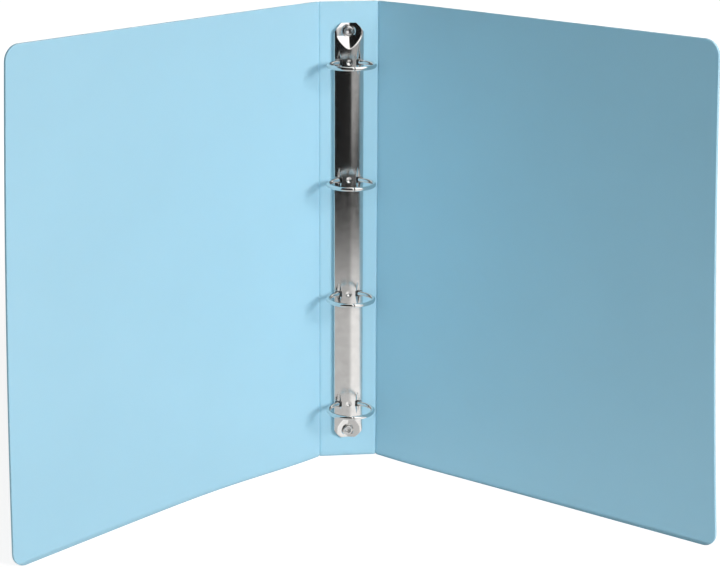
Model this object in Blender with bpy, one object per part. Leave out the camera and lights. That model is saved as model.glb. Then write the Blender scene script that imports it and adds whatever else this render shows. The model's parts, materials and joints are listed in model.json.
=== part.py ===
"""Ring binder for A4 sheets, with four round rings.

The cover is one plastic sheet creased into three panels: front cover, spine and rear
cover. A snap mechanism is riveted to the inside of the spine: an arched steel housing
holds two blades along its rolled edges, and each blade carries four half rings.

Units are metres and +Z is up. The binder stands on its bottom edges with both covers
part open. The origin is the middle of the spine panel's bottom edge. +X runs towards
the rear cover, which is on the right as seen from the inside, and -Y runs out of the
spine and through the rings. "Height" below means the distance from the spine's inner
face, along -Y.
"""
import math

import bmesh
import bpy
from mathutils import Matrix, Vector

# Cover
COVER_HEIGHT = 0.320
COVER_WIDTH = 0.260            # fold axis to free edge
SPINE_WIDTH = 0.0405           # between the two fold axes
SHEET = 0.0018
CORNER_RADIUS = 0.0095
FOLD_HALF = 0.0011             # fold axis to the edge of each stiff panel
WEB_THICKNESS = 0.0006
WEB_END_INSET = 0.0010
FRONT_COVER_BEND = 40.7        # degrees turned in from flat
REAR_COVER_BEND = 46.5

# Gap kept between pieces that touch
GAP = 0.0003

# Rings
RING_PITCH = 0.080
RING_COUNT = 4
RING_RADIUS = 0.01525          # centre line of the wire
RING_CENTRE_HEIGHT = 0.0176
WIRE_RADIUS = 0.00125
TIP_GAP = 0.00015              # each half stops this far from the middle
TIP_PIN_RADIUS = 0.00050
TIP_PIN_LENGTH = 0.00080
TIP_SOCKET_RADIUS = 0.00082
TIP_SOCKET_DEPTH = 0.00120
RING_ARC_END = 150.0           # degrees from the tip to the bend into the blade
ROOT_BEND_RADIUS = 0.0014
STAKE_RADIUS = 0.0008

# Housing
HOUSING_WIDTH = 0.020
HOUSING_CROWN = 0.0050         # height of its outer surface at the middle
HOUSING_SHEET = 0.0006
ROLL_RADIUS = 0.0011           # outside of the rolled long edges
LIP_LENGTH = 0.0006
RIVET_BEYOND_RING = 0.0205
END_BEYOND_RIVET = 0.0054
SCOOP_REACH = 0.0109           # from the rivet towards the middle
SCOOP_RAMP = 0.0070            # length over which its floor drops to the seat
SCOOP_FLAT = 0.0020            # half width of the level floor round the rivet
SCOOP_HALF_WIDTH = 0.0080      # where its sides meet the arch beside the rivet
SCOOP_EDGE_ROUND = 0.0005
END_TAPER_LENGTH = 0.0100
END_HALF_WIDTH = 0.0058
SLOT_INNER = 0.0046            # ring openings, from the middle of the housing
SLOT_OUTER = 0.0090
SLOT_HALF_LENGTH = 0.0021
SLOT_FLOOR = 0.0016            # height down to which each opening is cut

# Blades
BLADE_SHEET = 0.0007
BLADE_PIVOT_X = 0.0087
BLADE_OUTSIDE = 0.00025        # blade edge beyond its pivot line
BLADE_TILT = 4.5               # degrees below level when the rings are closed
BLADE_END_INSET = 0.0135       # blade end to rivet
BLADE_INNER_GAP = 0.0003
TAB_REACH = 0.0009             # tabs pass the middle by this much
TAB_LENGTH = 0.014
STAKE_HOLE_RADIUS = 0.0011

# Rivets
RIVET_SHANK_RADIUS = 0.00245
RIVET_HOLE_RADIUS = 0.00275
RIVET_BORE_RADIUS = 0.0017
RIVET_RIM_RADIUS = 0.0031
RIVET_RIM_THICKNESS = 0.0008
RIVET_HEAD_RADIUS = 0.0046
RIVET_HEAD_THICKNESS = 0.0010
RIVET_HEAD_FLAT_RADIUS = 0.0012
RIVET_HEAD_DOME = ((0.72, 0.85), (1.0, 0.35))  # shares of the head's radius and thickness
RIVET_SIDES = 20

SPINE_FACE_Y = -SHEET / 2
MIDDLE_Z = COVER_HEIGHT / 2
TOP_RING_Z = MIDDLE_Z + RING_PITCH * (RING_COUNT - 1) / 2
UPPER_RIVET_Z = TOP_RING_Z + RIVET_BEYOND_RING
LOWER_RIVET_Z = COVER_HEIGHT - UPPER_RIVET_Z
PIVOT_HEIGHT = GAP + ROLL_RADIUS
WIRE_SIDES = 10

BLUE_PLASTIC = ("blue_plastic", (0.33, 0.62, 0.80), 0.45, 0.0)
FOLD_PLASTIC = ("fold_plastic", (0.40, 0.69, 0.86), 0.40, 0.0)
NICKEL = ("bright_nickel", (0.78, 0.77, 0.74), 0.15, 1.0)
WIRE_NICKEL = ("wire_nickel", (0.74, 0.73, 0.71), 0.18, 1.0)
BLADE_STEEL = ("zinc_steel", (0.55, 0.56, 0.57), 0.35, 1.0)
RIVET_NICKEL = ("rivet_nickel", (0.70, 0.69, 0.67), 0.25, 1.0)


def clear_scene():
    for item in list(bpy.data.objects):
        bpy.data.objects.remove(item, do_unlink=True)


def material(look):
    name, colour, roughness, metallic = look
    found = bpy.data.materials.get(name)
    if found:
        return found
    made = bpy.data.materials.new(name)
    made.use_nodes = True
    shader = made.node_tree.nodes["Principled BSDF"]
    shader.inputs["Base Color"].default_value = (*colour, 1.0)
    shader.inputs["Roughness"].default_value = roughness
    shader.inputs["Metallic"].default_value = metallic
    return made


def add_piece(name, body, look, parent=None, smooth_angle=None):
    """Turn a bmesh, in its parent's axes, into a named object."""
    mesh = bpy.data.meshes.new(name)
    body.to_mesh(mesh)
    body.free()
    mesh.materials.append(material(look))
    if smooth_angle:
        mesh.shade_smooth()
        mesh.set_sharp_from_angle(angle=math.radians(smooth_angle))
    piece = bpy.data.objects.new(name, mesh)
    bpy.context.collection.objects.link(piece)
    piece.parent = parent
    return piece


def add_axis(name, x, y, turn=0.0):
    """An empty on a vertical joint axis, turned about it in degrees."""
    axis = bpy.data.objects.new(name, None)
    axis.location = (x, y, 0)
    axis.rotation_euler = (0, 0, math.radians(turn))
    bpy.context.collection.objects.link(axis)
    return axis


def solid_from_loops(loops):
    """A closed body through loops of equal length, with both ends capped."""
    body = bmesh.new()
    rows = [[body.verts.new(point) for point in loop] for loop in loops]
    count = len(loops[0])
    for row, next_row in zip(rows, rows[1:]):
        for i in range(count):
            j = (i + 1) % count
            body.faces.new((row[i], row[j], next_row[j], next_row[i]))
    body.faces.new(rows[0])
    body.faces.new(rows[-1])
    bmesh.ops.recalc_face_normals(body, faces=body.faces)
    return body


def cut(piece, name, bodies):
    """Take separate solids, given in the piece's own axes, out of it in one Boolean."""
    joined = bmesh.new()
    for body in bodies:
        part = bpy.data.meshes.new(name)
        body.to_mesh(part)
        body.free()
        joined.from_mesh(part)
        bpy.data.meshes.remove(part)
    tool = add_piece(name, joined, NICKEL, parent=piece)
    tool.hide_render = True
    tool.display_type = "WIRE"
    modifier = piece.modifiers.new(name, "BOOLEAN")
    modifier.operation = "DIFFERENCE"
    modifier.solver = "EXACT"
    modifier.object = tool


def box_body(low, high):
    centre = (Vector(low) + Vector(high)) / 2
    size = Vector(high) - Vector(low)
    body = bmesh.new()
    bmesh.ops.create_cube(body, size=1.0, matrix=Matrix.Translation(centre) @ Matrix.Diagonal((*size, 1)))
    return body


def rod_body(x, z, radius, y_low, y_high, sides=20):
    """A round rod along Y, with no corner straight above or beside its middle."""
    turn = Matrix.Rotation(math.radians(90), 4, "X") @ Matrix.Rotation(math.pi / sides, 4, "Z")
    place = Matrix.Translation((x, (y_low + y_high) / 2, z)) @ turn
    body = bmesh.new()
    bmesh.ops.create_cone(
        body, cap_ends=True, segments=sides, radius1=radius, radius2=radius,
        depth=y_high - y_low, matrix=place)
    return body


def arc(centre, radius, start, end, steps):
    """Points on an arc, angles in degrees."""
    angles = [math.radians(start + (end - start) * i / steps) for i in range(steps + 1)]
    return [(centre[0] + radius * math.cos(a), centre[1] + radius * math.sin(a)) for a in angles]


def plate_body(outline, y_low, y_high):
    """An outline of x, z points, given thickness along Y."""
    return solid_from_loops([[(x, y, z) for x, z in outline] for y in (y_low, y_high)])


def cover_outline():
    """Fold edge at the left, free edge with two rounded corners at the right."""
    inner = COVER_WIDTH - CORNER_RADIUS
    lower = arc((inner, CORNER_RADIUS), CORNER_RADIUS, -90, 0, 8)
    upper = arc((inner, COVER_HEIGHT - CORNER_RADIUS), CORNER_RADIUS, 0, 90, 8)
    return [(FOLD_HALF, 0.0), *lower, *upper, (FOLD_HALF, COVER_HEIGHT)]


def web_body(side, bend):
    """The bent strip between the spine and one cover, side -1 or 1, in world axes."""
    half_bend = math.radians(bend) / 2
    radius = FOLD_HALF / math.tan(half_bend)
    centre = (side * (SPINE_WIDTH / 2 - FOLD_HALF), -radius)
    gap_angle = math.degrees(GAP / radius)
    start, end = 90 - gap_angle, 90 - bend + gap_angle
    steps = 6
    outer = arc((0, centre[1]), radius + WEB_THICKNESS / 2, start, end, steps)
    inner = arc((0, centre[1]), radius - WEB_THICKNESS / 2, start, end, steps)
    section = [(centre[0] + side * x, y) for x, y in outer + inner[::-1]]
    heights = (WEB_END_INSET, COVER_HEIGHT - WEB_END_INSET)
    return solid_from_loops([[(x, y, z) for x, y in section] for z in heights])


def make_cover():
    half = SPINE_WIDTH / 2
    low_x = FOLD_HALF - half
    spine = box_body((low_x, -SHEET / 2, 0), (-low_x, SHEET / 2, COVER_HEIGHT))
    spine = add_piece("spine_panel", spine, BLUE_PLASTIC)
    heights = (UPPER_RIVET_Z, LOWER_RIVET_Z)
    cut(spine, "spine_holes", [rod_body(0, z, RIVET_HOLE_RADIUS, -SHEET, SHEET) for z in heights])

    folds = (
        ("front", -1, FRONT_COVER_BEND, 180 + FRONT_COVER_BEND),
        ("rear", 1, REAR_COVER_BEND, -REAR_COVER_BEND))
    for name, side, bend, turn in folds:
        axis = add_axis(name + "_fold_axis", side * half, 0, turn)
        panel = plate_body(cover_outline(), -SHEET / 2, SHEET / 2)
        add_piece(name + "_cover", panel, BLUE_PLASTIC, axis)
        add_piece(name + "_fold_web", web_body(side, bend), FOLD_PLASTIC)


def soft_min(a, b, reach):
    """The smaller of two heights, rounded where they are within reach of each other."""
    near = max(reach - abs(a - b), 0.0) / reach
    return min(a, b) - near * near * reach / 4


def arch_shape():
    """Centre height, middle-line radius and half angle in degrees of the housing's arch."""
    half = HOUSING_WIDTH / 2 - ROLL_RADIUS
    rise = HOUSING_CROWN - ROLL_RADIUS - PIVOT_HEIGHT
    spread = 2 * math.atan(rise / half)
    centre_height = PIVOT_HEIGHT + rise - half / math.sin(spread)
    return centre_height, HOUSING_CROWN - centre_height - HOUSING_SHEET / 2, math.degrees(spread)


def housing_path():
    """Middle line of the housing's sheet, lip to lip over the arch, as x, height."""
    half = HOUSING_WIDTH / 2 - ROLL_RADIUS
    centre_height, radius, spread = arch_shape()
    roll = ROLL_RADIUS - HOUSING_SHEET / 2
    arch = arc((0, centre_height), radius, 90, 90 - spread, 9)
    edge = arc((half, PIVOT_HEIGHT), roll, 90 - spread, -90, 5)
    right = arch + edge[1:] + [(half - LIP_LENGTH, PIVOT_HEIGHT - roll)]
    left = [(-x, height) for x, height in right[:0:-1]]
    return left + right


def scoop_height(x, z):
    """Height of the pressed scoop at x, z: a trough whose floor ramps down to the seat."""
    centre_height, radius, _ = arch_shape()
    seat = GAP + HOUSING_SHEET / 2
    edge = centre_height + math.sqrt(radius ** 2 - SCOOP_HALF_WIDTH ** 2)
    rise = (edge - seat) / (SCOOP_HALF_WIDTH - SCOOP_FLAT) ** 2
    into = abs(z - MIDDLE_Z) - (UPPER_RIVET_Z - SCOOP_REACH - MIDDLE_Z)
    ramp = (centre_height + radius - seat) * (1 - into / SCOOP_RAMP)
    return seat + max(ramp, 0) + rise * max(abs(x) - SCOOP_FLAT, 0) ** 2


def offset_path(path, distance):
    """The path moved sideways, to its left when distance is positive."""
    moved = []
    for i, (x, y) in enumerate(path):
        before = Vector(path[max(i - 1, 0)])
        after = Vector(path[min(i + 1, len(path) - 1)])
        along = (after - before).normalized()
        moved.append((x - along.y * distance, y + along.x * distance))
    return moved


def housing_section(z):
    pressed = []
    for x, height in housing_path():
        if height > PIVOT_HEIGHT:
            height = soft_min(height, scoop_height(x, z), SCOOP_EDGE_ROUND)
        pressed.append((x, height))
    outer = offset_path(pressed, HOUSING_SHEET / 2)
    inner = offset_path(pressed, -HOUSING_SHEET / 2)
    return [(x, SPINE_FACE_Y - height, z) for x, height in outer + inner[::-1]]


def housing_levels():
    """Heights of the cross sections: close together in the scoops."""
    end = UPPER_RIVET_Z + END_BEYOND_RIVET
    tip = UPPER_RIVET_Z - SCOOP_REACH
    steps = 6
    upper = [tip - SCOOP_EDGE_ROUND]
    upper += [tip + SCOOP_RAMP * i / steps for i in range(steps + 1)]
    upper += [(tip + SCOOP_RAMP + end) / 2, end]
    return [COVER_HEIGHT - z for z in reversed(upper)] + upper


def end_corner(side):
    """What is cut off one corner of the housing's upper end, as x, z."""
    end = UPPER_RIVET_Z + END_BEYOND_RIVET
    spare = 0.001
    width = HOUSING_WIDTH / 2 - END_HALF_WIDTH
    curve = arc((0, 0), 1.0, 0, 90, 6)
    points = [(END_HALF_WIDTH + width * a, end - END_TAPER_LENGTH * (1 - b)) for a, b in curve]
    far = HOUSING_WIDTH / 2 + spare
    points = [(far, points[0][1]), *points, (END_HALF_WIDTH, end + spare), (far, end + spare)]
    return [(side * x, z) for x, z in points]


def make_housing():
    body = solid_from_loops([housing_section(z) for z in housing_levels()])
    housing = add_piece("ring_housing", body, NICKEL, smooth_angle=35)
    front, back = SPINE_FACE_Y - HOUSING_CROWN - GAP, SPINE_FACE_Y
    slots = []
    for i in range(RING_COUNT):
        z = TOP_RING_Z - RING_PITCH * i
        for edges in ((-SLOT_OUTER, -SLOT_INNER), (SLOT_INNER, SLOT_OUTER)):
            slots.append(box_body(
                (edges[0], front, z - SLOT_HALF_LENGTH),
                (edges[1], back - SLOT_FLOOR, z + SLOT_HALF_LENGTH)))
    cut(housing, "ring_openings", slots)
    heights = (UPPER_RIVET_Z, LOWER_RIVET_Z)
    cut(housing, "rivet_holes", [rod_body(0, z, RIVET_HOLE_RADIUS, front, back) for z in heights])
    corners = []
    for side in (-1, 1):
        upper = end_corner(side)
        lower = [(x, COVER_HEIGHT - z) for x, z in upper]
        corners += [plate_body(outline, front, back) for outline in (upper, lower)]
    cut(housing, "end_corners", corners)


def blade_point(along, lift=0.0):
    """World x, height of a point on the closed left blade: along it from its pivot."""
    tilt = math.radians(BLADE_TILT)
    x = -BLADE_PIVOT_X + along * math.cos(tilt) + lift * math.sin(tilt)
    return x, PIVOT_HEIGHT - along * math.sin(tilt) + lift * math.cos(tilt)


def ring_path():
    """Centre line of a left half ring from tip to blade: points and directions, x, height."""
    centre = (0.0, RING_CENTRE_HEIGHT)
    tip_angle = math.degrees(TIP_GAP / RING_RADIUS)
    start, end = 90 + tip_angle, 90 + RING_ARC_END
    steps = 20
    points = arc(centre, RING_RADIUS, start, end, steps)
    headings = [start + 90 + (end - start) * i / steps for i in range(steps + 1)]

    last = math.radians(headings[-1])
    x, height = points[-1]
    bend_centre = (
        x + ROOT_BEND_RADIUS * math.sin(last),
        height - ROOT_BEND_RADIUS * math.cos(last))
    final = 270 - BLADE_TILT
    bend = arc(bend_centre, ROOT_BEND_RADIUS, headings[-1] + 90, final + 90, 5)
    points += bend[1:]
    headings += [headings[-1] + (final - headings[-1]) * i / 5 for i in range(1, 6)]
    return points, headings


def wire_loop(x, height, heading, radius):
    """A round loop across the wire at one point of its path."""
    angle = math.radians(heading)
    sideways = Vector((-math.sin(angle), -math.cos(angle), 0))
    centre = Vector((x, SPINE_FACE_Y - height, 0))
    loop = []
    for i in range(WIRE_SIDES):
        around = 2 * math.pi * i / WIRE_SIDES
        loop.append(centre + sideways * radius * math.cos(around)
                    + Vector((0, 0, radius * math.sin(around))))
    return loop


def half_ring_loops(has_pin):
    """Loops of a left half ring, from inside its tip to the end of its stake."""
    points, headings = ring_path()
    x, height = points[0]
    if has_pin:
        tip_radius, tip_shift = TIP_PIN_RADIUS, TIP_PIN_LENGTH
    else:
        tip_radius, tip_shift = TIP_SOCKET_RADIUS, -TIP_SOCKET_DEPTH
    loops = [wire_loop(x + tip_shift, height, headings[0], tip_radius)]
    loops.append(wire_loop(x, height, headings[0], tip_radius))
    for point, heading in zip(points, headings):
        loops.append(wire_loop(*point, heading, WIRE_RADIUS))

    along = (points[-1][0] + BLADE_PIVOT_X) / math.cos(math.radians(BLADE_TILT))
    foot = blade_point(along, BLADE_SHEET / 2 + GAP)
    stake_end = blade_point(along, -BLADE_SHEET / 2)
    loops.append(wire_loop(*foot, headings[-1], WIRE_RADIUS))
    loops.append(wire_loop(*foot, headings[-1], STAKE_RADIUS))
    loops.append(wire_loop(*stake_end, headings[-1], STAKE_RADIUS))
    return loops


def make_half_rings(side, name, pivot):
    for i in range(RING_COUNT):
        z = TOP_RING_Z - RING_PITCH * i
        origin = Vector((-BLADE_PIVOT_X, pivot.location.y, -z))
        loops = []
        for loop in half_ring_loops(has_pin=side < 0):
            moved = [point - origin for point in loop]
            loops.append([(-side * point.x, point.y, point.z) for point in moved])
        body = solid_from_loops(loops)
        add_piece("%s_ring_half_%d" % (name, i + 1), body, WIRE_NICKEL, pivot, 40)


def blade_outline(owns_even):
    """Left blade, flat: x from its pivot, z. Tabs alternate with notches for the other blade."""
    low = LOWER_RIVET_Z + BLADE_END_INSET
    high = UPPER_RIVET_Z - BLADE_END_INSET
    middle = BLADE_PIVOT_X / math.cos(math.radians(BLADE_TILT))
    count = int((high - low) / TAB_LENGTH)
    pitch = (high - low) / count
    inner = []
    for i in range(count):
        start, end = low + pitch * i, low + pitch * (i + 1)
        if (i % 2 == 0) == owns_even:
            x = middle + TAB_REACH
            start += GAP / 2 if i else 0
            end -= GAP / 2 if i < count - 1 else 0
        else:
            x = middle - TAB_REACH - BLADE_INNER_GAP
            start -= GAP / 2 if i else 0
            end += GAP / 2 if i < count - 1 else 0
        inner += [(x, start), (x, end)]
    return [(-BLADE_OUTSIDE, high), (-BLADE_OUTSIDE, low), *inner]


def make_mechanism_half(side, name):
    y = SPINE_FACE_Y - PIVOT_HEIGHT
    pivot = add_axis(name + "_blade_pivot", side * BLADE_PIVOT_X, y)
    outline = [(-side * x, z) for x, z in blade_outline(owns_even=side < 0)]
    body = plate_body(outline, -BLADE_SHEET / 2, BLADE_SHEET / 2)
    blade = add_piece(name + "_blade", body, BLADE_STEEL, pivot)
    blade.rotation_euler = (0, 0, math.radians(-side * BLADE_TILT))

    points, _ = ring_path()
    along = (points[-1][0] + BLADE_PIVOT_X) / math.cos(math.radians(BLADE_TILT))
    heights = [TOP_RING_Z - RING_PITCH * i for i in range(RING_COUNT)]
    cut(blade, name + "_stake_holes", [
        rod_body(-side * along, z, STAKE_HOLE_RADIUS, -BLADE_SHEET, BLADE_SHEET, 14)
        for z in heights])
    make_half_rings(side, name, pivot)


def make_rivets():
    """Turned about Y: head behind the spine, shank, rolled rim in the scoop, blind bore."""
    head_face = SHEET / 2 + GAP
    rim_base = SPINE_FACE_Y - GAP - HOUSING_SHEET - GAP
    rim_top = rim_base - RIVET_RIM_THICKNESS
    dome = [
        (RIVET_HEAD_RADIUS * wide, head_face + RIVET_HEAD_THICKNESS * deep)
        for wide, deep in RIVET_HEAD_DOME]
    profile = (
        (RIVET_HEAD_FLAT_RADIUS, head_face + RIVET_HEAD_THICKNESS),
        *dome,
        (RIVET_HEAD_RADIUS, head_face),
        (RIVET_SHANK_RADIUS, head_face),
        (RIVET_SHANK_RADIUS, rim_base),
        (RIVET_RIM_RADIUS, rim_base),
        (RIVET_RIM_RADIUS, (rim_base + rim_top) / 2),
        ((RIVET_RIM_RADIUS + RIVET_BORE_RADIUS) / 2, rim_top),
        (RIVET_BORE_RADIUS, (rim_base + rim_top) / 2),
        (RIVET_BORE_RADIUS, 0.0))
    for name, z in (("upper_rivet", UPPER_RIVET_Z), ("lower_rivet", LOWER_RIVET_Z)):
        loops = []
        for radius, y in profile:
            turned = arc((0, z), radius, 0, 360 - 360 / RIVET_SIDES, RIVET_SIDES - 1)
            loops.append([(x, y, height) for x, height in turned])
        add_piece(name, solid_from_loops(loops), RIVET_NICKEL, smooth_angle=40)


def main():
    clear_scene()
    make_cover()
    make_housing()
    make_mechanism_half(-1, "left")
    make_mechanism_half(1, "right")
    make_rivets()


main()
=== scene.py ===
"""Looks of the ring binder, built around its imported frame.

Units are metres. +Z is up, +X runs towards the rear cover and -Y out of the spine,
through the rings. In the housing and rings, "height" is the distance from the spine's inner
face along -Y. Every plastic and sheet-steel piece is a thin closed sheet over a grid
(sheet_piece), every half ring is a swept wire, and the rivets are turned.
"""

import json
import math

import bmesh
import bpy
import numpy as np
from mathutils import Matrix, Vector


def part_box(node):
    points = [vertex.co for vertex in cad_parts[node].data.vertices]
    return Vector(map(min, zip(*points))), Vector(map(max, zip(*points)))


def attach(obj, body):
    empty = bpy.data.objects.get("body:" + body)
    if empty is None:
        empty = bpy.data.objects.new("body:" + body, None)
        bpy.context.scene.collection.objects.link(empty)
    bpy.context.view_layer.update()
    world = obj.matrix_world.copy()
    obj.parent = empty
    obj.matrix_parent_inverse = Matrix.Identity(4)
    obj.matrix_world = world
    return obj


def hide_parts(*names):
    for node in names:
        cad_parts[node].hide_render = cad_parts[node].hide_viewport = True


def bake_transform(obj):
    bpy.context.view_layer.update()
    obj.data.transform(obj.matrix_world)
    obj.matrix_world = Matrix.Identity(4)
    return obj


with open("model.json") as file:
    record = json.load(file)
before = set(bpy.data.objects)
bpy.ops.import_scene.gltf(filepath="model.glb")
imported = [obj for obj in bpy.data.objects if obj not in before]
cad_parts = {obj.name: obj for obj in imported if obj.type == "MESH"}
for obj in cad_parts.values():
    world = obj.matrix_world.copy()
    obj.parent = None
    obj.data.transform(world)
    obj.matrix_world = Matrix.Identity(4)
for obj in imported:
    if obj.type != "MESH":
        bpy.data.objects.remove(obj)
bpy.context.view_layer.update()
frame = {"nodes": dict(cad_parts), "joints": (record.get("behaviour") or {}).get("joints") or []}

MM = 0.001

# ---------------------------------------------------------------- places read from the frame
JOINTS = {joint["name"]: joint for joint in frame["joints"]}
SPINE_LOW, SPINE_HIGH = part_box("spine_panel")
HOUSING_LOW, HOUSING_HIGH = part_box("ring_housing")
RIVET_LOW, RIVET_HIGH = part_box("upper_rivet")

HEIGHT = SPINE_HIGH.z
SHEET = SPINE_HIGH.y - SPINE_LOW.y
FACE_Y = SPINE_LOW.y
MIDDLE_Z = HEIGHT / 2
FOLD_X = JOINTS["rear_cover_fold"]["pos_m"][0]
FOLD_HALF = FOLD_X - SPINE_HIGH.x
UPPER_RIVET_Z = (RIVET_LOW.z + RIVET_HIGH.z) / 2
RIVET_FROM_MIDDLE = UPPER_RIVET_Z - MIDDLE_Z
RING_COUNT = 4


def box_middle(node):
    low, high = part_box(node)
    return (low + high) / 2


RING_LEVELS = [box_middle("left_ring_half_%d" % (i + 1)).z for i in range(RING_COUNT)]


def bend_of(joint):
    """How far a cover is turned in from flat at rest: its closed limit is 90 degrees from flat."""
    return 90 - min(abs(limit) for limit in JOINTS[joint]["range_deg"])


FRONT_BEND = bend_of("front_cover_fold")
REAR_BEND = bend_of("rear_cover_fold")

# ---------------------------------------------------------------- cover
COVER_WIDTH = 260 * MM            # fold axis to free edge
CORNER_RADIUS = 9.5 * MM
EDGE_ROUND = 0.25 * MM
WEB_HALF = 0.42 * MM              # half the thickness of the fold
FOLD_GAP = 0.62 * MM              # from the fold axis to each panel's edge
FOLD_RADIUS = 0.5 * MM            # of the fold's own bend
CREASE_WIDTH = 0.65 * MM          # over which the sheet thins towards a fold
CREASE_HALF = WEB_HALF + 0.03 * MM
WEB_OVERLAP = 0.5 * MM            # hidden length of a fold inside each panel
WEB_END_INSET = 0.25 * MM

# Each cover is a slightly warped sheet. In millimetres inwards of flat: the top and the bottom
# of the free edge, the bow of the lower edge near the fold, and the belly half way up.
FRONT_WARP = (7.9, 1.9, -10.2, -2.4)
REAR_WARP = (18.0, -12.7, -1.1, 3.6)
WARP_START = 20 * MM              # no lean nearer to the fold, where the rings pass
WARP_SOFT = 15 * MM               # how gently the lean sets in
BOW_REACH = 70 * MM               # over which the lower edge bows

# ---------------------------------------------------------------- housing
GAP = 0.3 * MM
HOUSING_WIDTH = HOUSING_HIGH.x - HOUSING_LOW.x
HOUSING_CROWN = FACE_Y - HOUSING_LOW.y
PLATE_HALF = 0.3 * MM             # half the thickness of its sheet
ARCH_SPREAD = math.radians(25)    # half angle of the arch
SHOULDER_RADIUS = 1.0 * MM        # outside, where the arch turns down into the flanks
FLANK_FOOT = 0.45 * MM            # height of the flanks' lower edges
PIVOT_HEIGHT = 1.4 * MM           # of the line each blade turns about
SCOOP_REACH = 10.9 * MM           # from the rivet towards the middle
SCOOP_RAMP = 8.0 * MM
SCOOP_RAMP_POWER = 1.5            # of its fall: steep at the tip and level at the seat
SCOOP_TROUGH_ROUND = 1.5 * MM
SCOOP_SLOPES = (0.50, 0.38, 0.22)  # of its sides: at the tip, below the ramp and at the end
SCOOP_EDGE_ROUND = 1.0 * MM
SEAT_HEIGHT = 0.6 * MM            # of the flat seat's middle surface around the rivet
SEAT_RADIUS = 3.3 * MM
SEAT_BLEND = 1.6 * MM
END_LIP = 0.35 * MM               # how far the very end bends back
END_TAPER_LENGTH = 9.8 * MM
END_HALF_WIDTH = 5.0 * MM
END_SHOULDER = 0.6 * MM           # the taper starts this far outside the flanks
SLOT_INNER = 4.6 * MM             # ring openings, measured from the middle
SLOT_OUTER = 9.0 * MM
SLOT_HALF_LENGTH = 2.1 * MM
SLOT_CORNER = 0.7 * MM
GROOVE_MIDDLE = 6.2 * MM          # pressed lead-in above and below each opening
GROOVE_HALF_WIDTH = 1.5 * MM
GROOVE_LENGTH = 7.5 * MM
GROOVE_TAPER = 0.8                # share of its width that it loses along its length
GROOVE_DEPTH = 0.50 * MM
DIMPLE_RADIUS = 2.4 * MM          # pressed dot between each pair of openings
DIMPLE_DEPTH = 0.50 * MM
RIVET_HOLE = 2.75 * MM
PLATE_ROUND = 0.12 * MM

# ---------------------------------------------------------------- rings
WIRE_RADIUS = 1.40 * MM
RING_RADIUS = 15.25 * MM
RING_CENTRE_HEIGHT = 17.6 * MM
TIP_GAP = 0.15 * MM
TIP_CHAMFER = 0.16 * MM
PIN_RADIUS = 0.50 * MM
PIN_LENGTH = 0.80 * MM
SOCKET_RADIUS = 0.82 * MM
SOCKET_DEPTH = 1.20 * MM
SOCKET_FLARE = 0.08 * MM
RING_ARC_END = 150                # degrees from the tip to the bend into the blade
ROOT_BEND_RADIUS = 1.7 * MM
BLADE_PIVOT_X = 8.7 * MM
BLADE_TILT = 4.5                  # degrees
BLADE_HALF = 0.35 * MM
STAKE_RADIUS = 0.8 * MM
FOOT_CHAMFER = 0.1 * MM

# ---------------------------------------------------------------- rivets
SPINE_HOLE = 2.65 * MM
SHANK_RADIUS = 2.45 * MM
RIM_RADIUS = 3.1 * MM
RIM_THICKNESS = 0.8 * MM
BORE_RADIUS = 1.75 * MM
BORE_TAPER = 0.15 * MM
HEAD_RADIUS = 4.6 * MM
HEAD_THICKNESS = 1.0 * MM
HEAD_FLAT = 1.9 * MM              # radius inside the head's rounded edge
HEAD_EDGE = 0.35                  # share of the thickness below its rounded edge
HEAD_CHAMFER = 0.08 * MM
RIVET_SIDES = 64

# ---------------------------------------------------------------- camera
CAMERA_PLACE = Vector((-0.13820, -1.15669, 0.46318))
CAMERA_YAW = 5.915                # degrees to the right of +Y
CAMERA_PITCH = 14.634             # degrees down
CAMERA_ROLL = 0.096
CAMERA_LENS = 88.054              # millimetres
CAMERA_SHIFT = (0.05395, -0.06552)
CAMERA_FAR = 100.0


# ================================================================ mesh tools
def lines(*stops, end):
    """Grid lines from each (place, step) to the next place, in equal steps no longer than step."""
    places = []
    targets = [place for place, _ in stops[1:]] + [end]
    for (start, step), target in zip(stops, targets):
        count = max(1, math.ceil(abs(target - start) / step - 1e-6))
        places += [start + (target - start) * i / count for i in range(count)]
    return np.array(places + [end])


def mirrored(side):
    """Grid lines from -end to end, from those of one side that start at 0."""
    return np.concatenate((-side[:0:-1], side))


def graded_lines(low, high, coarse, zones):
    """Grid lines from low to high, at each place with the step of the finest zone over it."""
    places = [low]
    while places[-1] < high:
        here = places[-1]
        step = min([coarse] + [fine for start, stop, fine in zones if start <= here < stop])
        starts = [start for start, _, fine in zones if here < start < here + step and fine < step]
        after = min([here + step] + starts)
        places.append(high if after > high - 0.5 * PLATE_ROUND else after)
    return np.array(places)


def smooth_step(t):
    t = np.clip(t, 0, 1)
    return t * t * (3 - 2 * t)


def box_distance(u, v, low, high, corner):
    """Signed distance into a rectangle with rounded corners: positive inside it."""
    middle = ((low[0] + high[0]) / 2, (low[1] + high[1]) / 2)
    du = np.abs(u - middle[0]) - (high[0] - low[0]) / 2 + corner
    dv = np.abs(v - middle[1]) - (high[1] - low[1]) / 2 + corner
    outside = np.hypot(np.maximum(du, 0), np.maximum(dv, 0))
    return corner - outside - np.minimum(np.maximum(du, dv), 0)


def gradient(distance, u, v):
    """Unit direction in which a distance grows, by central differences."""
    step = 0.01 * MM
    along_u = distance(u + step, v) - distance(u - step, v)
    along_v = distance(u, v + step) - distance(u, v - step)
    length = np.maximum(np.hypot(along_u, along_v), 1e-12)
    return along_u / length, along_v / length


def surface_normals(middle, u, v):
    step = 0.02 * MM
    along_u = middle(u + step, v) - middle(u - step, v)
    along_v = middle(u, v + step) - middle(u, v - step)
    normal = np.cross(along_u, along_v)
    return normal / np.linalg.norm(normal, axis=1)[:, None]


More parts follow.
